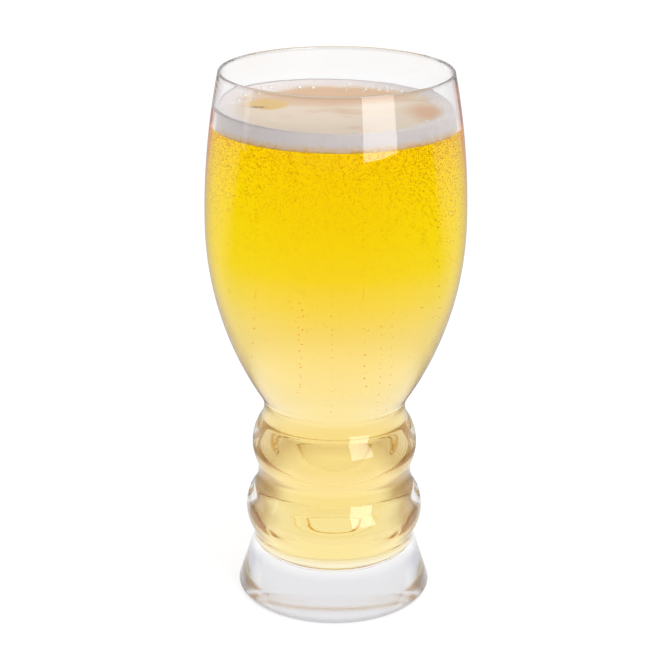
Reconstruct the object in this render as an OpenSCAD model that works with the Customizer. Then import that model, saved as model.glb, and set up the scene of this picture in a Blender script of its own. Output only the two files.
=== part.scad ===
// Cider glass: a one-piece blown glass with a barrel bowl, two thick-walled rings and a
// solid flared foot, holding a poured cider and its head of foam.
// Frame: +Z up, origin at the middle of the base, on the surface it stands on.

/* [Rim and bowl] */
// Overall height of the glass
glass_h = 190; // [184:0.5:204]
// Outside diameter at the rim
rim_d = 79.4; // [74:0.2:84]
// Thickness of the rim, which is melted to a full round
rim_wall = 1.2; // [0.8:0.1:2]
// Outside diameter at the widest part of the bowl
bowl_d = 89.8; // [87:0.2:98]
// Height of the widest part of the bowl
bowl_z = 138; // [132:0.5:146]
// Radius of the bowl's profile from its widest part down to the waist
bowl_round = 118; // [112:0.5:126]
// Wall at the widest part of the bowl
bowl_wall = 2.2; // [1.6:0.1:3]
// Radius of the bowl's profile inside, from its widest part down to the waist
bowl_inside_round = 114; // [108:0.5:120]

/* [Rings] */
// Outside diameter of the upper ring
upper_ring_d = 58.5; // [56:0.1:62]
// Height of the upper ring's crest
upper_ring_z = 55.8; // [54:0.1:58]
// Radius of the upper ring's profile
upper_ring_round = 16.6; // [15:0.1:19]
// Wall at the upper ring's crest
upper_ring_wall = 7; // [5:0.1:9]
// Radius of the profile inside the upper ring
upper_ring_inside_round = 80; // [60:1:100]
// Outside diameter of the lower ring
lower_ring_d = 63.3; // [61:0.1:67]
// Height of the lower ring's crest
lower_ring_z = 31; // [30:0.1:33]
// Radius of the lower ring's profile
lower_ring_round = 14.1; // [13:0.1:16]
// Wall at the lower ring, from its crest down to where the floor rounds up into it
lower_ring_wall = 8.5; // [7:0.1:11]
// Radius of the profile inside the lower ring, above its crest
lower_ring_inside_round = 12; // [8:0.5:16]

/* [Creases] */
// Rounding of the waist, between the bowl and the upper ring
waist_round = 9; // [6:0.5:12]
// Rounding of the groove between the rings
groove_round = 12; // [8:0.5:15]
// Rounding of the groove above the foot
foot_groove_round = 8; // [5:0.5:11]
// Rounding of the waist inside
waist_inside_round = 20; // [14:1:28]
// Rounding inside, between the two rings
groove_inside_round = 20; // [14:1:28]

/* [Foot] */
// Outside diameter of the foot
foot_d = 69.4; // [67:0.2:73]
// Rounding of the foot's bottom edge
foot_edge = 1.4; // [1:0.1:3]
// Lean of the foot's flare from upright, in degrees
foot_lean = 17.8; // [16:0.1:20]
// Height of the floor that the cider rests on
floor_z = 13; // [11:0.5:17]
// Rounding of the cavity's corner at the floor
floor_round = 6; // [3:0.5:9]

/* [Drink] */
// Headspace from the rim down to the top of the foam
headspace = 12; // [8:0.5:20]
// Depth of the foam at the wall
foam_at_wall = 6; // [4:0.5:10]
// Depth of the foam in the middle
foam_in_middle = 1.8; // [1:0.1:3.5]

/* [Hidden] */
$fn = 240;
// Room past the outline for the shapes that trim it
margin = 1;
// Overlap where a line or an arc runs into another, so that no sliver is left between
bite = 0.001;

// The rim's round and the foot's edge: centre and radius
rim_round = rim_wall / 2;
rim = [rim_d / 2 - rim_round, glass_h - rim_round];
foot = [foot_d / 2 - foot_edge, foot_edge];

// Crests of the bowl, outside and inside
bowl = [bowl_d / 2, bowl_z];
bowl_inside = bowl - [bowl_wall, 0];

// Centres of the profile's arcs, each level with its crest
lower_bowl = bowl - [bowl_round, 0];
upper_ring = [upper_ring_d / 2 - upper_ring_round, upper_ring_z];
lower_ring = [lower_ring_d / 2 - lower_ring_round, lower_ring_z];
lower_bowl_inside = bowl_inside - [bowl_inside_round, 0];
upper_ring_inside = [upper_ring_d / 2 - upper_ring_wall - upper_ring_inside_round, upper_ring_z];
lower_inside_r = lower_ring_d / 2 - lower_ring_wall;
lower_ring_inside = [lower_inside_r - lower_ring_inside_round, lower_ring_z];
corner = [lower_inside_r - floor_round, floor_z + floor_round];

// Radii of the arcs from the bowl's crests up to the rim, negative where the rim is the wider
upper_bowl_round = arc_radius(bowl, rim, bite - rim_round);
upper_bowl_inside_round = arc_radius(bowl_inside, rim, rim_round - bite);
upper_bowl = bowl - [upper_bowl_round, 0];
upper_bowl_inside = bowl_inside - [upper_bowl_inside_round, 0];

// Levels of the drink
foam_top = glass_h - headspace;
foam_low = foam_top - foam_at_wall;
cider_top = foam_top - foam_in_middle;

// Radius of the arc that leaves a crest upright and touches a circle of radius f at c.
// A positive f is a circle outside the arc, and a negative one a circle that it wraps.
function arc_radius(crest, c, f) =
    let (d = c - crest) (d * d - f * f) / (2 * (f - d.x));

// Centre of a circle of radius f that touches two circles from outside, right of both
function between(a, ra, b, rb, f) =
    let (d = norm(b - a), u = (b - a) / d)
    let (x = (d * d + (ra + f) * (ra + f) - (rb + f) * (rb + f)) / (2 * d))
    a + u * x + [u.y, -u.x] * sqrt((ra + f) * (ra + f) - x * x);

// Radius of a sphere whose cap has radius r and height h
function cap_radius(r, h) = (r * r + h * h) / (2 * h);

// Half plane section from the axis to x, between two levels
module band(x, low, high) {
    translate([0, low]) square([x, high - low]);
}

// Part of a circle that lies between two levels
module slice(c, r, low, high) {
    intersection() {
        translate(c) circle(r);
        band(c.x + r + margin, low, high);
    }
}

// Half section up to an arc that leaves a crest upright, and bends outward if r is negative
module flank(crest, r, low, high) {
    c = crest - [r, 0];
    if (r > 0) slice(c, r, low, high);
    else difference() {
        band(c.x, low, high);
        translate(c) circle(-r);
    }
}

// Fill between two arcs, the lower one first, that ends in a rounded crease
module crease(a, ra, b, rb, f) {
    c = between(a, ra, b, rb, f);
    intersection() {
        difference() {
            polygon([a, c, b]);
            translate(c) circle(f + bite);
        }
        band(c.x, a.y, b.y);
    }
}

// Half section of the foot: a straight flare with a rounded edge below and a groove above
module foot_section() {
    out = [cos(foot_lean), sin(foot_lean)];
    up = [-sin(foot_lean), cos(foot_lean)];
    q = foot + (foot_edge + foot_groove_round) * out - lower_ring;
    reach = lower_ring_round + foot_groove_round;
    rise = -q * up - sqrt(pow(q * up, 2) - q * q + reach * reach);
    c = lower_ring + q + rise * up;
    translate(foot) circle(foot_edge);
    difference() {
        polygon([[0, 0], [foot.x, 0], foot, foot + (foot_edge - bite) * out,
            c - foot_groove_round * out, c, lower_ring, upper_ring, [0, upper_ring_z]]);
        translate(c) circle(foot_groove_round + bite);
    }
}

// Half section of the glass as if it were solid, before its rim is rounded
module outline() {
    flank(bowl, upper_bowl_round, bowl_z, glass_h + margin);
    slice(lower_bowl, bowl_round, upper_ring_z, bowl_z + margin);
    slice(upper_ring, upper_ring_round, lower_ring_z, bowl_z);
    slice(lower_ring, lower_ring_round, foot_edge, upper_ring_z);
    crease(upper_ring, upper_ring_round, lower_bowl, bowl_round, waist_round);
    crease(lower_ring, lower_ring_round, upper_ring, upper_ring_round, groove_round);
    foot_section();
}

// Half section of the inside: it only hints at the rings, and its floor has a round corner
module cavity() {
    flank(bowl_inside, upper_bowl_inside_round, bowl_z, glass_h + margin);
    slice(lower_bowl_inside, bowl_inside_round, upper_ring_z, bowl_z + margin);
    slice(upper_ring_inside, upper_ring_inside_round, lower_ring_z, bowl_z);
    slice(lower_ring_inside, lower_ring_inside_round, corner.y, upper_ring_z);
    slice(corner, floor_round, floor_z, lower_ring_z);
    crease(upper_ring_inside, upper_ring_inside_round, lower_bowl_inside, bowl_inside_round,
        waist_inside_round);
    crease(lower_ring_inside, lower_ring_inside_round, upper_ring_inside, upper_ring_inside_round,
        groove_inside_round);
    band(lower_inside_r, corner.y, lower_ring_z);
    band(corner.x, floor_z, upper_ring_z);
}

// Half section that cuts the wall square, through the middle of the rim's round
module above_rim() {
    inward = upper_bowl_inside - rim;
    outward = rim - upper_bowl;
    inner = sign(upper_bowl_inside_round) * rim_wall * inward / norm(inward);
    outer = sign(upper_bowl_round) * rim_wall * outward / norm(outward);
    rise = [0, rim_wall + margin];
    polygon([rim + inner, rim, rim + outer, rim + outer + rise, rim + inner + rise]);
}

// Half section of all that lies under the foam, whose underside is domed
module under_foam() {
    rise = foam_low - bowl_z;
    reach = sqrt(pow(upper_bowl_inside_round, 2) - rise * rise);
    r = upper_bowl_inside.x + sign(upper_bowl_inside_round) * reach;
    cap = cap_radius(r, cider_top - foam_low);
    slice([0, cider_top - cap], cap, bowl_z, glass_h);
    band(bowl.x, 0, foam_low - margin);
}

module glass() {
    color("azure", 0.35) rotate_extrude() {
        difference() {
            outline();
            cavity();
            above_rim();
        }
        translate(rim) circle(rim_round);
    }
}

module cider() {
    color("gold", 0.8) rotate_extrude() intersection() {
        cavity();
        under_foam();
    }
}

module foam_head() {
    color("linen") rotate_extrude() difference() {
        intersection() {
            cavity();
            band(bowl.x, foam_low - margin, foam_top);
        }
        under_foam();
    }
}

glass();
cider();
foam_head();
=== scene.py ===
"""Looks of the cider glass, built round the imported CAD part.

Lathed pieces on the nodes' own sections stand for the glass, the cider and the head of foam.
The bubbles in the cider and on the head are pieces of their own. Lengths are in metres.
"""

import math
import random

import bpy
import numpy as np
from mathutils import Matrix, Vector, noise


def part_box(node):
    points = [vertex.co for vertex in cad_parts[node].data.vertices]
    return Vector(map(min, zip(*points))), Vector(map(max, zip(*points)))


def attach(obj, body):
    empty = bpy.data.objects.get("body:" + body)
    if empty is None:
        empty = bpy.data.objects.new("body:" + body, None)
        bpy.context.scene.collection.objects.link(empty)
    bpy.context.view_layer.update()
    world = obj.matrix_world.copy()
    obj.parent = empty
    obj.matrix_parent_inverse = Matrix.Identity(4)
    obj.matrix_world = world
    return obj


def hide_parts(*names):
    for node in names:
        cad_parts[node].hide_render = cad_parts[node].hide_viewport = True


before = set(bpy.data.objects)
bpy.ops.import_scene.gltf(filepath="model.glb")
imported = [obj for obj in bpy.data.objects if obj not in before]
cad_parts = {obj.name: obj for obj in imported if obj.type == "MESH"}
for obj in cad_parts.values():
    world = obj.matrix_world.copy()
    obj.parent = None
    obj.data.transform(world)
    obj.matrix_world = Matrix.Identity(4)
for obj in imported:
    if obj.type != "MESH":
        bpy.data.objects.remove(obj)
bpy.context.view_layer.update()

scene = bpy.context.scene

MM = 0.001

# Levels, read off the frame
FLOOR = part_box("cider")[0].z
FOAM_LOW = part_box("foam_head")[0].z
FOAM_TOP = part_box("foam_head")[1].z
RIM_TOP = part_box("glass")[1].z

# Fineness of the lathed pieces: facets round the axis, and the longest step and turn along
# a section, where a stretch whose half turn is below STRAIGHT counts as straight
FACETS = 180
STEP = 1.2 * MM
TURN = math.radians(12)
STRAIGHT = 1e-6
# Distance that keeps two touching surfaces apart, so that light meets them in order
SKIN = 0.003 * MM
# How far off the plane y = 0 a mesh point may be and still lie on the section, and the decimals
# to which its place is taken
ON_SECTION = 0.0005 * MM
DECIMALS = 7


# Sections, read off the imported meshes

def section(name):
    """The joins between neighbouring points (r, z) of a round node's section, at y = 0, x >= 0."""
    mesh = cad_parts[name].data
    flat = {v.index: (max(round(v.co.x, DECIMALS), 0.0), round(v.co.z, DECIMALS))
            for v in mesh.vertices if abs(v.co.y) < ON_SECTION and v.co.x > -ON_SECTION}
    joins = {}
    for edge in mesh.edges:
        a, b = (flat.get(i) for i in edge.vertices)
        if a and b and a != b:
            joins.setdefault(a, set()).add(b)
            joins.setdefault(b, set()).add(a)
    return joins


def edge_at(joins, z):
    """The outermost point of a section on one level."""
    return max((p for p in joins if abs(p[1] - z) < ON_SECTION), key=lambda p: p[0])


def follow(joins, start, ends):
    """Points from start onwards, up to and with the first one for which ends(point) holds.
    It leaves start for a point on another level, so a flat end of the section is left out."""
    path = [start]
    while len(path) == 1 or not ends(path[-1]):
        onward = [p for p in joins[path[-1]] if p not in path and p[1] != start[1]]
        if not onward:
            break
        path.append(onward[0])
    return path


def bend(a, b, c):
    """Signed curvature of the circle through three points."""
    a, b, c = (Vector(p) for p in (a, b, c))
    sides = (b - a).length * (c - b).length * (c - a).length
    return 2 * (b - a).cross(c - b) / sides


def rounded(path):
    """The path with points added, so that each stretch follows the arc it was taken from.
    A stretch next to a change of arc takes its curvature from the side that keeps its own."""
    curve = [bend(*path[i - 1:i + 2]) for i in range(1, len(path) - 1)]
    curve = [curve[0]] + curve + [curve[-1]]
    last = len(path) - 1
    fine = []
    for i, (p, q) in enumerate(zip(path, path[1:])):
        change_before = abs(curve[i] - curve[max(i - 1, 0)])
        change_after = abs(curve[i + 1] - curve[min(i + 2, last)])
        k = curve[i] if change_before <= change_after else curve[i + 1]
        p, q = Vector(p), Vector(q)
        along = (q - p).normalized()
        across = Vector((-along.y, along.x))
        half = math.asin(max(-1, min(1, k * (q - p).length / 2)))
        count = math.ceil(max((q - p).length / STEP, 2 * abs(half) / TURN))
        for j in range(count):
            a = half * (2 * j / count - 1)
            if abs(half) < STRAIGHT:
                fine.append(p.lerp(q, j / count))
            else:
                fine.append((p + q) / 2 + along * (math.sin(a) / k)
                            + across * ((math.cos(half) - math.cos(a)) / k))
    return [(p.x, p.y) for p in fine + [Vector(path[-1])]]


def from_axis(path):
    """A path that starts on a flat end of a section, led in along that flat from the axis."""
    r, z = path[0]
    return [(0.0, z), (r / 2, z)] + path


def radius_at(wall, z):
    """Radius of a wall, given as points with rising z, at one level."""
    return float(np.interp(z, [p[1] for p in wall], [p[0] for p in wall]))


glass_joins = section("glass")
wall = follow(glass_joins, edge_at(glass_joins, FLOOR), lambda p: p[1] < ON_SECTION)
wall = rounded(from_axis(from_axis(wall)[::-1])[::-1])
rim_at = max(range(len(wall)), key=lambda i: wall[i][1])
# A point more where the foam begins, because the wall is dry from there up
wet_bands = next(i for i, p in enumerate(wall) if p[1] > FOAM_LOW)
wall.insert(wet_bands, (radius_at(wall[:rim_at + 1], FOAM_LOW), FOAM_LOW))
rim_at += 1
inside = wall[:rim_at + 1]

cider_joins = section("cider")
drink = rounded(from_axis(follow(cider_joins, edge_at(cider_joins, FLOOR), lambda p: p[0] == 0)))
drink_edge = max(range(len(drink)), key=lambda i: drink[i][0] - abs(drink[i][1] - FOAM_LOW))


# Meshes

def add_mesh(name, verts, faces):
    mesh = bpy.data.meshes.new(name)
    mesh.from_pydata(verts, [], faces)
    mesh.polygons.foreach_set("use_smooth", [True] * len(mesh.polygons))
    mesh.update()
    piece = bpy.data.objects.new(name, mesh)
    scene.collection.objects.link(piece)
    return piece


def lathe(name, path):
    """Turns a path round the axis. The path runs with the solid on its right, so normals face out.
    Faces come in bands, one for each step of the path; band_of gives a face's band."""
    turns = [2 * math.pi * k / FACETS for k in range(FACETS)]
    verts, rings = [], []
    for r, z in path:
        if r < SKIN:
            rings.append([len(verts)] * FACETS)
            verts.append((0, 0, z))
        else:
            rings.append(list(range(len(verts), len(verts) + FACETS)))
            verts += [(r * math.cos(a), r * math.sin(a), z) for a in turns]
    faces = []
    for low, high in zip(rings, rings[1:]):
        for k in range(FACETS):
            n = (k + 1) % FACETS
            corners = [low[k], high[k], high[n], low[n]]
            faces.append(list(dict.fromkeys(corners)))
    return add_mesh(name, verts, faces)


def band_of(face):
    return face.index // FACETS


def balls(name, spots, ring, rows, inward=False):
    """Small round balls, each given as (middle, radius), joined in one mesh."""
    unit = [Vector((0, 0, -1))]
    for j in range(1, rows):
        tilt = math.pi * j / rows - math.pi / 2
        unit += [Vector((math.cos(tilt) * math.cos(2 * math.pi * k / ring),
                         math.cos(tilt) * math.sin(2 * math.pi * k / ring), math.sin(tilt)))
                 for k in range(ring)]
    unit.append(Vector((0, 0, 1)))
    top = len(unit) - 1
    cells = []
    for k in range(ring):
        n = (k + 1) % ring
        cells.append((0, 1 + n, 1 + k))
        for j in range(rows - 2):
            a = 1 + j * ring
            cells.append((a + k, a + n, a + ring + n, a + ring + k))
        cells.append((top, top - ring + k, top - ring + n))
    if inward:
        cells = [c[::-1] for c in cells]
    verts, faces = [], []
    for middle, r in spots:
        start = len(verts)
        verts += [middle + r * u for u in unit]
        faces += [tuple(start + i for i in c) for c in cells]
    return add_mesh(name, verts, faces)


# Shader nodes

def material(name):
    made = bpy.data.materials.new(name)
    made.use_nodes = True
    return made, made.node_tree, made.node_tree.nodes["Principled BSDF"]


def node(tree, kind, **values):
    """A new shader node. Names that are inputs set their sockets, and others its properties."""
    made = tree.nodes.new("ShaderNode" + kind)
    for key, value in values.items():
        if key in made.inputs:
            made.inputs[key].default_value = value
        else:
            setattr(made, key, value)
    return made


def plug(tree, value, socket):
    """Links an output to a socket, or sets the socket to a plain value."""
    if isinstance(value, bpy.types.NodeSocket):
        tree.links.new(value, socket)
    else:
        socket.default_value = value


def math_of(tree, operation, a, b):
    made = node(tree, "Math", operation=operation)
    plug(tree, a, made.inputs[0])
    plug(tree, b, made.inputs[1])
    return made.outputs[0]


def mix(tree, share, a, b):
    """Colour a where share is 0, and b where it is 1."""
    made = node(tree, "Mix", data_type="RGBA")
    plug(tree, share, made.inputs[0])
    plug(tree, a if isinstance(a, bpy.types.NodeSocket) else (*a, 1), made.inputs[6])
    plug(tree, b if isinstance(b, bpy.types.NodeSocket) else (*b, 1), made.inputs[7])
    return made.outputs[2]


def choose(tree, share, a, b):
    """The number a where share is 0, and b where it is 1."""
    made = node(tree, "Mix", data_type="FLOAT")
    plug(tree, share, made.inputs[0])
    plug(tree, a, made.inputs[2])
    plug(tree, b, made.inputs[3])
    return made.outputs[0]


def span(tree, value, low, high):
    """0 where a value is at low or before it, and 1 at high or past it."""
    made = node(tree, "MapRange", interpolation_type="SMOOTHSTEP")
    made.inputs["From Min"].default_value = low
    made.inputs["From Max"].default_value = high
    tree.links.new(value, made.inputs["Value"])
    return made.outputs["Result"]


def fading(tree, value, low, high):
    """1 where a value is at low or before it, and 0 at high or past it."""
    return math_of(tree, "SUBTRACT", 1.0, span(tree, value, low, high))


def ramp(tree, share, stops):
    """The colour between stops, each given as (share, colour)."""
    made = node(tree, "ValToRGB")
    while len(made.color_ramp.elements) < len(stops):
        made.color_ramp.elements.new(0.5)
    for element, (at, colour) in zip(made.color_ramp.elements, stops):
        element.position = at
        element.color = (*colour, 1)
    tree.links.new(share, made.inputs["Fac"])
    return made.outputs["Color"]


def by_facing(tree, stops, blend=0.5):
    """A colour by how far a surface turns away: 0 square on, and 1 edge on."""
    return ramp(tree, node(tree, "LayerWeight", Blend=blend).outputs["Facing"], stops)


def edge_on(tree, turns, square, turned, edge):
    """A colour that stays as it is square on up to the first of two turns, is another one at the
    second, and changes on from there to the edge."""
    return by_facing(tree, [(0.0, square), (turns[0], square), (turns[1], turned), (1.0, edge)])


def place(tree):
    """The point's place on the object."""
    return node(tree, "TexCoord").outputs["Object"]


def split(tree, vector):
    made = node(tree, "SeparateXYZ")
    tree.links.new(vector, made.inputs[0])
    return made.outputs


def scaled(tree, vector, scale, shift=(0, 0, 0)):
    """A place less shift, then times scale, axis by axis."""
    less = node(tree, "VectorMath", operation="SUBTRACT")
    tree.links.new(vector, less.inputs[0])
    less.inputs[1].default_value = shift
    times = node(tree, "VectorMath", operation="MULTIPLY")
    tree.links.new(less.outputs[0], times.inputs[0])
    times.inputs[1].default_value = scale
    return times.outputs[0]


def length(tree, vector):
    made = node(tree, "VectorMath", operation="LENGTH")
    tree.links.new(vector, made.inputs[0])
    return made.outputs["Value"]


NOISE_MIDDLE = 0.5


def noisy(tree, vector, scale=1.0, detail=2.0, output="Fac"):
    made = node(tree, "TexNoise", Scale=scale, Detail=detail)
    tree.links.new(vector, made.inputs["Vector"])
    return made.outputs[output]


def bumped(tree, shader, height, depth):
    made = node(tree, "Bump", Distance=depth)
    tree.links.new(height, made.inputs["Height"])
    tree.links.new(made.outputs["Normal"], shader.inputs["Normal"])


def see_through(shader, ior):
    shader.inputs["Roughness"].default_value = 0
    shader.inputs["IOR"].default_value = ior
    shader.inputs["Transmission Weight"].default_value = 1


# Glass

GLASS_IOR = 1.52
CIDER_IOR = 1.345
# What glass leaves of the light that passes a surface square on; where it turns away by the second
# of EDGE_TURNS and edge on, painted shade in place of the dark surroundings that its edges bend into
# view; and the same, fainter, above the cider, from about the foam's low edge up
GLASS_TINT = (0.998, 0.997, 0.999)
NEAR_EDGE_SHADE = (0.62, 0.60, 0.62)
AT_EDGE_SHADE = (0.30, 0.29, 0.30)
DRY_NEAR_EDGE_SHADE = (0.98, 0.975, 0.98)
DRY_AT_EDGE_SHADE = (0.92, 0.91, 0.92)
EDGE_TURNS = (0.64, 0.86)
DRY_LEVELS = (FOAM_LOW - 4 * MM, FOAM_LOW + 2 * MM)
# A painted grey line round the rim, shade in place of the rim's rounded edge seen through the glass,
# and where it begins
PAINTED_RIM_LINE = (0.86, 0.85, 0.85)
RIM_LEVELS = (RIM_TOP - 1.6 * MM, RIM_TOP - 0.7 * MM)
# Painted shade on the solid foot, grey in place of the shaded table and dark surroundings seen
# through
# thick glass: square on, at its sides and edge on. At its bottom edge it is as dark as edge on, up
# to FOOT_LOW, and between the levels FOOT_FADE its tint ends
FOOT_PAINTED_GREY = (0.71, 0.71, 0.755)
FOOT_SIDE_SHADE = (0.34, 0.35, 0.41)
FOOT_EDGE_SHADE = (0.27, 0.28, 0.32)
FOOT_TURNS = (0.42, 0.60)
FOOT_LOW = (0.3 * MM, 3.0 * MM)
FOOT_FADE = (14 * MM, 19 * MM)
# Painted shade on the wet side of the rings where it turns away: brown, in place of the dark
# surroundings that the cider bends into view; and the levels between which this tint begins and ends
RING_EDGE_SHADE = (0.50, 0.37, 0.27)
RING_TURNS = (0.20, 0.34)
RING_START = (18 * MM, 24 * MM)
RING_FADE = (38 * MM, 56 * MM)
# Level streaks that the mould leaves in the glass: per metre along x, y and z, how fine and how
# deep they are, and the levels between which they end
STREAKS = (25, 25, 420)
STREAK_DETAIL = 3.0
STREAK_DEPTH = 0.012 * MM
STREAK_FADE = (66 * MM, 80 * MM)
# The base is ground flat, so it isn't quite clear
BASE_ROUGHNESS = 0.08


def painted_edge_shade(tree, z):
    """Painted shade: darker the more a surface turns away, and less so above the cider."""
    wet = edge_on(tree, EDGE_TURNS, GLASS_TINT, NEAR_EDGE_SHADE, AT_EDGE_SHADE)
    dry = edge_on(tree, EDGE_TURNS, GLASS_TINT, DRY_NEAR_EDGE_SHADE, DRY_AT_EDGE_SHADE)
    return mix(tree, span(tree, z, *DRY_LEVELS), wet, dry)


def painted_foot_shade(tree, z):
    """Painted shade: grey, and darker the more it turns away and at its bottom edge, in place of the
    shade and dark surroundings that thick glass shows.
    """
    body = edge_on(tree, FOOT_TURNS, FOOT_PAINTED_GREY, FOOT_SIDE_SHADE, FOOT_EDGE_SHADE)
    return mix(tree, span(tree, z, *FOOT_LOW), FOOT_EDGE_SHADE, body)


def dry_glass():
    """The outside and the dry inside: clear, with painted shade where it is seen edge on, a painted
    grey line at the rim, a foot grey with painted shade and, up to the waist, the level streaks of
    the mould."""
    made, tree, shader = material("glass_clear")
    at = place(tree)
    z = split(tree, at)["Z"]
    # Painted shade: edges darker as they turn away, and a grey line at the rim
    tint = mix(tree, span(tree, z, *RIM_LEVELS), painted_edge_shade(tree, z), PAINTED_RIM_LINE)
    outside = math_of(tree, "SUBTRACT", 1.0, node(tree, "NewGeometry").outputs["Backfacing"])
    low = math_of(tree, "MULTIPLY", fading(tree, z, *FOOT_FADE), outside)
    # Painted shade on the outside of the foot, fading out above it
    tree.links.new(mix(tree, low, tint, painted_foot_shade(tree, z)), shader.inputs["Base Color"])
    see_through(shader, GLASS_IOR)
    lines = noisy(tree, scaled(tree, at, STREAKS), detail=STREAK_DETAIL)
    lines = math_of(tree, "MULTIPLY", lines, fading(tree, z, *STREAK_FADE))
    bumped(tree, shader, lines, STREAK_DEPTH)
    return made


def wet_glass():
    """The inside below the foam, against cider: painted brown shade at the rings' edges, and painted
    shade edge on.
    """
    made, tree, shader = material("glass_wet")
    z = split(tree, place(tree))["Z"]
    # Painted shade: brown where the rings' wet side turns away
    ring = edge_on(tree, RING_TURNS, GLASS_TINT, RING_EDGE_SHADE, RING_EDGE_SHADE)
    there = math_of(tree, "MULTIPLY", span(tree, z, *RING_START), fading(tree, z, *RING_FADE))
    tree.links.new(mix(tree, there, painted_edge_shade(tree, z), ring), shader.inputs["Base Color"])
    see_through(shader, GLASS_IOR / CIDER_IOR)
    return made


def base_glass():
    """The underside, ground flat."""
    made, _, shader = material("glass_base")
    shader.inputs["Base Color"].default_value = (*GLASS_TINT, 1)
    see_through(shader, GLASS_IOR)
    shader.inputs["Roughness"].default_value = BASE_ROUGHNESS
    return made


glass = lathe("glass_wall", wall)
for stuff in (dry_glass(), wet_glass(), base_glass()):
    glass.data.materials.append(stuff)
CLEAR, WET, BASE = range(3)
base_bands = min(i for i, p in enumerate(wall) if i > rim_at and p[1] < ON_SECTION)
for face in glass.data.polygons:
    band = band_of(face)
    face.material_index = WET if band < wet_bands else BASE if band >= base_bands else CLEAR


# Cider, a skin inside the wall

# What cider leaves of the light in its depth, at a density per metre, and at its surface, by level,
# where the paling below the top is painted light: a haze in place of the light that the lower bowl
# reflects
CIDER_COLOUR = (0.999, 0.825, 0.0)
CIDER_DENSITY = 22.0
CIDER_TINTS_AND_HAZE = ((0, (1.0, 0.97, 0.88)), (36 * MM, (1.0, 0.97, 0.88)), (50 * MM, (1.0, 0.89, 0.66)),
               (62 * MM, (1.0, 0.93, 0.80)), (74 * MM, (1.0, 0.98, 0.97)),
               (94 * MM, (1.0, 0.99, 0.98)), (108 * MM, (1.0, 0.98, 0.74)),
               (119 * MM, (1.0, 0.97, 0.22)), (130 * MM, (1.0, 0.96, 0.012)),
               (142 * MM, (1.0, 0.95, 0.0005)), (170 * MM, (1.0, 0.88, 0.0005)))


def cider_stuff():
    """Cider: golden all through, deeper towards the top, and paler below in a painted haze of
    reflected light. The wall's wet side bends the light for both, so the cider itself doesn't bend
    it."""
    made, tree, shader = material("cider_clear")
    share = math_of(tree, "DIVIDE", split(tree, place(tree))["Z"], FOAM_LOW)
    # Painted light: the tint by level pales below the top, a haze in place of reflected light
    tint = ramp(tree, share, [(z / FOAM_LOW, colour) for z, colour in CIDER_TINTS_AND_HAZE])
    tree.links.new(tint, shader.inputs["Base Color"])
    see_through(shader, 1)
    depth = node(tree, "VolumeAbsorption", Color=(*CIDER_COLOUR, 1), Density=CIDER_DENSITY)
    tree.links.new(depth.outputs[0], tree.nodes["Material Output"].inputs["Volume"])
    return made


level = [(max(r - SKIN, 0), max(z, FLOOR + SKIN)) for r, z in drink]
cider = lathe("cider_fill", level[::-1])
cider.data.materials.append(cider_stuff())


# Head of foam: its top sinks from the wall to the film, and its underside lies on the cider

# The film: how far it lies below the foam's edge, and its depth. The edge creeps up the wall over
# a width, more steeply with a higher power, and by the lean more on the left than on the right
FILM_DROP = 1.5 * MM
FILM_DEPTH = 0.25 * MM
CREEP_WIDTH = 8 * MM
CREEP_POWER = 2.2
CREEP_LEAN = 1.0 * MM
# Ripples on top: how high, and how many per metre, and the steps of the top's section
HEAD_RIPPLE = 0.10 * MM
RIPPLES = 180
HEAD_STEP = 0.8 * MM
# A point is on top where its normal points up this much, or this near to the top of the creep
FACES_UP = 0.2
NEAR_TOP = 0.9
# Foam: pale, shaded in blots and between its cells, and warm where it thins out into the cider
FOAM = (1.0, 0.925, 0.91)
FOAM_SHADE = (0.95, 0.875, 0.865)
FOAM_WARM = (1.0, 0.72, 0.46)
FOAM_FOOT = (1.0, 0.60, 0.08)
FOAM_ROUGHNESS = 0.55
# How far up and down the foam's lower edge wanders, and per metre how often, and the levels
# between which its foot turns warm, and between which the warm part turns pale
FOAM_RAGGED = 3.0 * MM
RAGS = 650
RAG_DETAIL = 3.0
FOAM_WARMS = (FOAM_LOW + 0.1 * MM, FOAM_LOW + 0.9 * MM)
FOAM_PALES = (FOAM_LOW + 0.5 * MM, FOAM_LOW + 2.8 * MM)
# Blots, per metre, and the range of the noise in which they show
BLOTS = 260
BLOT_RANGE = (0.35, 0.7)
# Cells of foam, per metre, the width of their edges as a share, and their depth
CELLS = 1700
CELL_EDGE = (0.0, 0.10)
CELL_DEPTH = 0.05 * MM
# The film: tan, deeper in streaks that flow across it, with a brown shade in its cells
FILM = (0.99, 0.82, 0.63)
FILM_DEEP = (0.84, 0.53, 0.30)
FILM_BROWN = (0.89, 0.51, 0.26)
FILM_ROUGHNESS = 0.4
FILM_CELL_SHADE = 0.12
FILM_CELL_DEPTH = 0.5 * CELL_DEPTH
FLOW = (38, 75, 0)
FLOW_DETAIL = 4.0
FLOW_RANGE = (0.5, 0.75)
# Its patches: middle, half widths, softness of the edge, and colour, the last one a clear lens;
# and how far and how often per metre their edges wander
LENS = (0.93, 0.60, 0.16)
FILM_PATCHES = (((0, 18 * MM), (34 * MM, 21 * MM), 0.5, FILM_DEEP),
                ((30 * MM, -6 * MM), (9 * MM, 16 * MM), 0.8, FILM_BROWN),
                ((-23 * MM, 4 * MM), (9 * MM, 9 * MM), 0.4, LENS))
WANDER = (6 * MM, 6 * MM, 0)
WANDERS = 70
WANDER_DETAIL = 3.0
# A broken brown wisp on the lens: place, half widths, softness, colour, and its grain
WISP_SPOT = ((-27 * MM, 0), (4 * MM, 2.2 * MM), 0.6)
WISP_COLOUR = (0.28, 0.14, 0.06)
WISP_GRAIN = 900
WISP_RANGE = (0.35, 0.6)
# Share of the creep's width, from the wall, over which the film has turned to foam
FOAM_SHARE = 0.35


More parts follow.
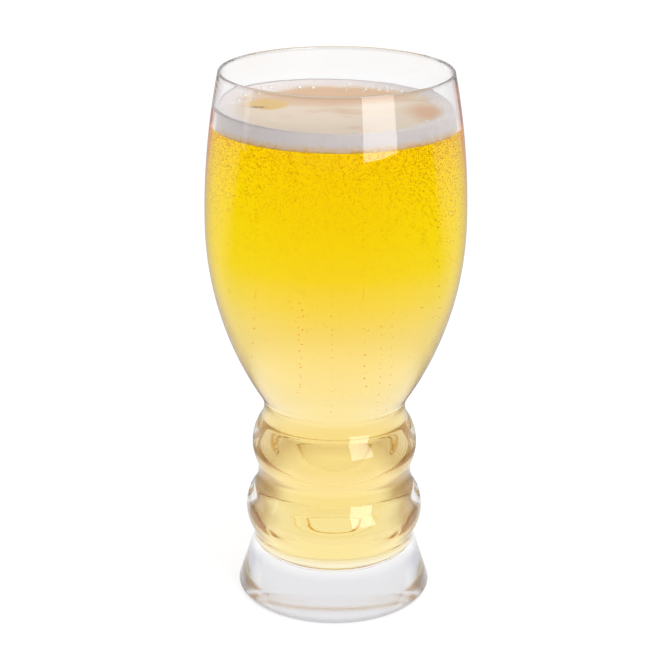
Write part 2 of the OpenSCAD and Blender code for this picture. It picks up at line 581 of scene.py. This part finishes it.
def cells_of(tree, at):
    """0 at the edges of the foam's cells, and 1 inside them."""
    made = node(tree, "TexVoronoi", Scale=CELLS, feature="DISTANCE_TO_EDGE")
    tree.links.new(at, made.inputs["Vector"])
    return span(tree, made.outputs["Distance"], *CELL_EDGE)


def spot(tree, at, middle, size, soft):
    """1 in a round patch of the plan, with its middle at (x, y) and half widths size, 0 outside."""
    off = scaled(tree, at, (1 / size[0], 1 / size[1], 0), (*middle, 0))
    return fading(tree, length(tree, off), 1 - soft, 1)


def foam_stuff():
    """Fine foam at the wall: pale, warm where it thins out into the cider."""
    made, tree, shader = material("foam_fine")
    at = place(tree)
    rags = math_of(tree, "SUBTRACT", noisy(tree, at, RAGS, RAG_DETAIL), NOISE_MIDDLE)
    z = math_of(tree, "ADD", split(tree, at)["Z"], math_of(tree, "MULTIPLY", rags, FOAM_RAGGED))
    low = mix(tree, span(tree, z, *FOAM_WARMS), FOAM_FOOT, FOAM_WARM)
    body = mix(tree, span(tree, noisy(tree, at, BLOTS), *BLOT_RANGE), FOAM, FOAM_SHADE)
    cells = cells_of(tree, at)
    body = mix(tree, cells, FOAM_SHADE, body)
    colour = mix(tree, span(tree, z, *FOAM_PALES), low, body)
    tree.links.new(colour, shader.inputs["Base Color"])
    shader.inputs["Roughness"].default_value = FOAM_ROUGHNESS
    bumped(tree, shader, cells, CELL_DEPTH)
    return made


def film_stuff(reach):
    """The film on the cider: tan, browner where it is thin, with a clear lens, and pale foam
    where it creeps up the wall, reach away from the axis."""
    made, tree, shader = material("foam_film")
    at = place(tree)
    drift = noisy(tree, at, WANDERS, WANDER_DETAIL, "Color")
    moved = node(tree, "VectorMath", operation="ADD")
    tree.links.new(at, moved.inputs[0])
    tree.links.new(scaled(tree, drift, WANDER, [NOISE_MIDDLE] * 3), moved.inputs[1])
    near = moved.outputs[0]
    flow = noisy(tree, scaled(tree, at, FLOW), detail=FLOW_DETAIL)
    colour = mix(tree, span(tree, flow, *FLOW_RANGE), FILM, FILM_DEEP)
    for middle, size, soft, patch in FILM_PATCHES:
        colour = mix(tree, spot(tree, near, middle, size, soft), colour, patch)
    grain = span(tree, noisy(tree, at, WISP_GRAIN), *WISP_RANGE)
    wisp = math_of(tree, "MULTIPLY", spot(tree, near, *WISP_SPOT), grain)
    colour = mix(tree, wisp, colour, WISP_COLOUR)
    out = length(tree, scaled(tree, near, (1, 1, 0)))
    edge = span(tree, out, reach - CREEP_WIDTH, reach - FOAM_SHARE * CREEP_WIDTH)
    colour = mix(tree, edge, colour, FOAM)
    cells = cells_of(tree, at)
    shade = mix(tree, FILM_CELL_SHADE, colour, FILM_BROWN)
    tree.links.new(mix(tree, cells, shade, colour), shader.inputs["Base Color"])
    shader.inputs["Roughness"].default_value = FILM_ROUGHNESS
    bumped(tree, shader, cells, FILM_CELL_DEPTH)
    return made


brim = radius_at(inside, FOAM_TOP) - SKIN


def head_top(r):
    """Level of the head's top, which rises ever more steeply towards the wall."""
    share = max(0, 1 - (brim - r) / CREEP_WIDTH)
    return FOAM_TOP - FILM_DROP * (1 - share ** CREEP_POWER)


def crept(z):
    """How far up from the film to the foam's top a level is, as a share."""
    return max(0, min(1, (z - FOAM_TOP + FILM_DROP) / FILM_DROP))


top_steps = math.ceil(brim / HEAD_STEP)
top = [(brim * i / top_steps, head_top(brim * i / top_steps)) for i in range(top_steps + 1)]
side = [(r - SKIN, z) for r, z in inside if FOAM_LOW < z < FOAM_TOP][::-1]
side.append((radius_at(inside, FOAM_LOW) - SKIN, FOAM_LOW))
under = [(r, min(z + SKIN, FOAM_TOP - FILM_DROP - FILM_DEPTH)) for r, z in drink[drink_edge + 1:]]
foam = lathe("foam_collar", top + side + under)
foam.data.materials.append(foam_stuff())
foam.data.materials.append(film_stuff(brim))
for face in foam.data.polygons:
    face.material_index = int(band_of(face) < len(top) - 1)
for vert in foam.data.vertices:
    high = crept(vert.co.z)
    if vert.normal.z > FACES_UP or high > NEAR_TOP:
        vert.co.z -= CREEP_LEAN * high * vert.co.x / brim
        vert.co.z += HEAD_RIPPLE * noise.noise(vert.co * RIPPLES)


# Bubbles in the cider: fine ones under the head, a cloud of them at one side, and strings

# Fine bubbles: how many in front and behind, their radii, how they thin out below the head and
# away from the wall, and how far about the axis a denser stretch of them thins out at its ends
FIZZ_COUNT = 6600
FIZZ_BEHIND = 1100
FIZZ_SIZE = (0.098 * MM, 0.182 * MM)
FIZZ_DEPTH = 13 * MM
FIZZ_FROM_WALL = 3 * MM
FIZZ_BLUR = math.radians(20)
# Their least distances from the foam and the wall, and their lowest level as a share of the foam's
FIZZ_BELOW = 0.4 * MM
FIZZ_GAP = 20 * SKIN
FIZZ_LOWEST = 0.5
# The denser cloud at the right of the front: how many, and between which turns about the axis
CLOUD_COUNT = 1100
CLOUD_TURNS = (math.radians(-48), math.radians(2))
# Strings of bubbles that rise from the waist, in millimetres: place in the plan, levels of both
# ends, and how far a bubble sways off its string
STRINGS = ((-10, -14, 84, 148), (-1, -22, 78, 132), (13, -16, 74, 112), (16, -13, 76, 128),
           (-19, 8, 90, 150), (6, 21, 82, 140), (24, 10, 95, 150), (-7, 19, 80, 118))
STRING_SWAY = 0.2
STRING_GAP = (1.8 * MM, 6.0 * MM)
STRING_SIZE = (0.15 * MM, 0.28 * MM)
# Facets of a bubble, round it and from end to end
FIZZ_FACETS = (5, 3)
# Softer than air in cider, which came out harder and darker than in the photograph
BUBBLE_IOR = 1.25
# Painted shade: a bubble's tint, deeper orange towards its edge, in place of the dark rim a bubble
# shows in cider
BUBBLE_TINTS_AND_EDGE_SHADE = ((0.0, (1.0, 0.46, 0.08)), (0.6, (0.99, 0.27, 0.05)), (1.0, (0.95, 0.16, 0.03)))

SEED = 7

chance = random.Random(SEED)


def bubble_stuff():
    """Air in cider, seen against the light: tinted orange, with painted shade that makes it dark
    orange round its edge.
    """
    made, tree, shader = material("bubble")
    tree.links.new(by_facing(tree, BUBBLE_TINTS_AND_EDGE_SHADE), shader.inputs["Base Color"])
    see_through(shader, BUBBLE_IOR)
    return made


def fizz_ball(first, last):
    """A bubble below the head, about between two turns round the axis."""
    turn = chance.gauss(chance.uniform(first, last), FIZZ_BLUR)
    drop = chance.expovariate(1 / FIZZ_DEPTH)
    size = chance.uniform(*FIZZ_SIZE)
    z = max(FOAM_LOW - FIZZ_BELOW - drop, FIZZ_LOWEST * FOAM_LOW)
    r = radius_at(inside, z) - size - FIZZ_GAP - chance.expovariate(1 / FIZZ_FROM_WALL)
    return Vector((r * math.cos(turn), r * math.sin(turn), z)), size


bubbles = [fizz_ball(-math.pi, 0) for _ in range(FIZZ_COUNT)]
bubbles += [fizz_ball(0, math.pi) for _ in range(FIZZ_BEHIND)]
bubbles += [fizz_ball(*CLOUD_TURNS) for _ in range(CLOUD_COUNT)]
for x, y, low, high in STRINGS:
    z = low * MM
    while z < high * MM:
        sway = Vector((chance.uniform(-STRING_SWAY, STRING_SWAY) * MM,
                       chance.uniform(-STRING_SWAY, STRING_SWAY) * MM, 0))
        bubbles.append((Vector((x * MM, y * MM, z)) + sway, chance.uniform(*STRING_SIZE)))
        z += chance.uniform(*STRING_GAP)
fizz = balls("fizz_bubbles", bubbles, *FIZZ_FACETS, inward=True)
fizz.data.materials.append(bubble_stuff())


# Larger bubbles on the head, most of them along its edge and behind

# How many, the share of them behind, and their radii, where the power makes large ones rare
HEAD_BUBBLES = 90
HEAD_BUBBLES_BEHIND = 0.75
HEAD_BUBBLE_SIZE = (0.25 * MM, 0.8 * MM)
HEAD_BUBBLE_POWER = 2.5
# Their least distance from the wall, and how far from there they spread, in widths of the creep
HEAD_BUBBLE_GAP = 1.5 * MM
HEAD_BUBBLE_SPREAD = 0.55
HEAD_BUBBLE_FACETS = (12, 8)
HEAD_BUBBLE_TINTS = ((0.0, (0.93, 0.90, 0.86)), (1.0, (0.99, 0.98, 0.98)))
HEAD_BUBBLE_BLEND = 0.4
HEAD_BUBBLE_ROUGHNESS = 0.06
HEAD_BUBBLE_IOR = 1.34


def head_bubble_stuff():
    """A bubble's wet skin over foam: pale, and shiny."""
    made, tree, shader = material("head_bubble")
    tint = by_facing(tree, HEAD_BUBBLE_TINTS, HEAD_BUBBLE_BLEND)
    tree.links.new(tint, shader.inputs["Base Color"])
    shader.inputs["Roughness"].default_value = HEAD_BUBBLE_ROUGHNESS
    shader.inputs["IOR"].default_value = HEAD_BUBBLE_IOR
    return made


large = []
while len(large) < HEAD_BUBBLES:
    behind = chance.random() < HEAD_BUBBLES_BEHIND
    turn = chance.uniform(0, math.pi) if behind else chance.uniform(-math.pi, 0)
    size = chance.uniform(0, 1) ** HEAD_BUBBLE_POWER
    size = HEAD_BUBBLE_SIZE[0] + size * (HEAD_BUBBLE_SIZE[1] - HEAD_BUBBLE_SIZE[0])
    spread = abs(chance.gauss(0, HEAD_BUBBLE_SPREAD)) * CREEP_WIDTH
    r = brim - size - spread - HEAD_BUBBLE_GAP
    if r > 0:
        z = head_top(r) - CREEP_LEAN * crept(head_top(r)) * math.cos(turn)
        large.append((Vector((r * math.cos(turn), r * math.sin(turn), z)), size))
specks = balls("head_bubbles", large, *HEAD_BUBBLE_FACETS)
specks.data.materials.append(head_bubble_stuff())


# Bodies, and the nodes that the pieces replace

for piece, slot in ((glass, "glass"), (cider, "cider"), (foam, "foam"),
                    (fizz, "cider"), (specks, "foam")):
    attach(piece, "root")
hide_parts("glass")
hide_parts("cider")
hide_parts("foam_head")


# Table, room and light

WHITE = (1, 1, 1, 1)
# Level of the room's light on dull surfaces, and of what the glass mirrors: dark in front of it
# and brighter behind, with a change over this part of the way from the side to the back
ROOM_LIGHT = 0.78
ROOM_DARK = 0.05
ROOM_BEHIND = 0.6
ROOM_FADE = (0.0, 0.5)
# The table: its half width and how far it lies below the glass, its own colour, and what it adds
# for the camera, so that it is white
TABLE_REACH = 4.0
TABLE_BELOW = 0.1 * MM
TABLE_COLOUR = 0.35
TABLE_GLOW = 0.76
# What the glass mirrors of it: 1 out to the first of these distances, and behind the glass as
# much as TABLE_BEHIND, which it reaches between two places along y
TABLE_NEAR = (0.09, 0.15)
TABLE_BEHIND = 0.55
TABLE_BRIGHT = (0.0, 0.20)
# Soft boxes: degrees to the camera's right of the glass, distance, height of the middle, width
# and height, and radiance
WINDOW = (38.5, 1.0, 0.5725, (0.55, 0.855), 5.0)
STRIP = (-87, 0.9, 0.45, (0.10, 0.7), 1.0)


def make_table():
    """A plain pale table, white for the camera and through the glass, with the glass's shadow."""
    corners = [(x * TABLE_REACH, y * TABLE_REACH, -TABLE_BELOW)
               for x, y in ((-1, -1), (1, -1), (1, 1), (-1, 1))]
    made = add_mesh("table", corners, [(0, 1, 2, 3)])
    paint, tree, shader = material("table")
    at = place(tree)
    rays = node(tree, "LightPath").outputs
    behind = span(tree, split(tree, at)["Y"], *TABLE_BRIGHT)
    behind = math_of(tree, "MULTIPLY", behind, TABLE_BEHIND)
    near = fading(tree, length(tree, at), *TABLE_NEAR)
    glow = math_of(tree, "MAXIMUM", near, behind)
    glow = math_of(tree, "MULTIPLY", glow, rays["Is Glossy Ray"])
    glow = choose(tree, rays["Is Camera Ray"], glow, TABLE_GLOW)
    glow = choose(tree, rays["Is Transmission Ray"], glow, 1.0)
    tree.links.new(glow, shader.inputs["Emission Strength"])
    shader.inputs["Emission Color"].default_value = WHITE
    dull = math_of(tree, "SUBTRACT", 1.0, rays["Is Glossy Ray"])
    tree.links.new(math_of(tree, "MULTIPLY", dull, TABLE_COLOUR), shader.inputs["Base Color"])
    shader.inputs["Roughness"].default_value = 1
    shader.inputs["Specular IOR Level"].default_value = 0
    made.data.materials.append(paint)
    return made


def make_room():
    """The world: white for the camera and through the glass, and less in what the glass mirrors."""
    world = bpy.data.worlds.new("studio")
    scene.world = world
    world.use_nodes = True
    tree = world.node_tree
    rays = node(tree, "LightPath").outputs
    towards_back = split(tree, node(tree, "TexCoord").outputs["Generated"])["Y"]
    mirrored = choose(tree, span(tree, towards_back, *ROOM_FADE), ROOM_DARK, ROOM_BEHIND)
    shown = math_of(tree, "MAXIMUM", rays["Is Camera Ray"], rays["Is Transmission Ray"])
    strength = choose(tree, rays["Is Glossy Ray"], ROOM_LIGHT, mirrored)
    strength = choose(tree, shown, strength, 1.0)
    tree.links.new(strength, tree.nodes["Background"].inputs["Strength"])
    tree.nodes["Background"].inputs["Color"].default_value = WHITE


def soft_box(name, azimuth, distance, middle, size, radiance):
    """An upright lamp that faces the glass. It isn't seen through the glass, only mirrored on it."""
    light = bpy.data.lights.new(name, "AREA")
    light.shape = "RECTANGLE"
    light.size, light.size_y = size
    light.energy = radiance * math.pi * size[0] * size[1]
    turn = math.radians(azimuth)
    made = bpy.data.objects.new(name, light)
    made.location = (distance * math.sin(turn), -distance * math.cos(turn), middle)
    made.rotation_euler = (math.pi / 2, 0, turn)
    made.visible_transmission = False
    made.visible_camera = False
    scene.collection.objects.link(made)


table = make_table()
make_room()
soft_box("window", *WINDOW)
soft_box("strip", *STRIP)


# Camera, fitted to the rim's and the foot's ellipses in the photograph; angles in degrees

CAMERA_AT = (-0.0009, -0.593, 0.318)
CAMERA_DOWN = 20.47
CAMERA_ROLL = 0.33
CAMERA_SENSOR = 36
CAMERA_LENS = 97.7
# Light meets many surfaces in the thick glass and among the bubbles before it comes out
BOUNCES = 96

camera = bpy.data.objects.new("camera", bpy.data.cameras.new("camera"))
scene.collection.objects.link(camera)
camera.location = CAMERA_AT
tilt = Matrix.Rotation(math.radians(90 - CAMERA_DOWN), 3, "X")
roll = Matrix.Rotation(math.radians(CAMERA_ROLL), 3, "Z")
camera.rotation_euler = (tilt @ roll).to_euler()
camera.data.sensor_width = CAMERA_SENSOR
camera.data.lens = CAMERA_LENS
scene.camera = camera

scene.view_settings.view_transform = "Standard"
scene.cycles.max_bounces = BOUNCES
scene.cycles.transmission_bounces = BOUNCES
scene.cycles.glossy_bounces = BOUNCES
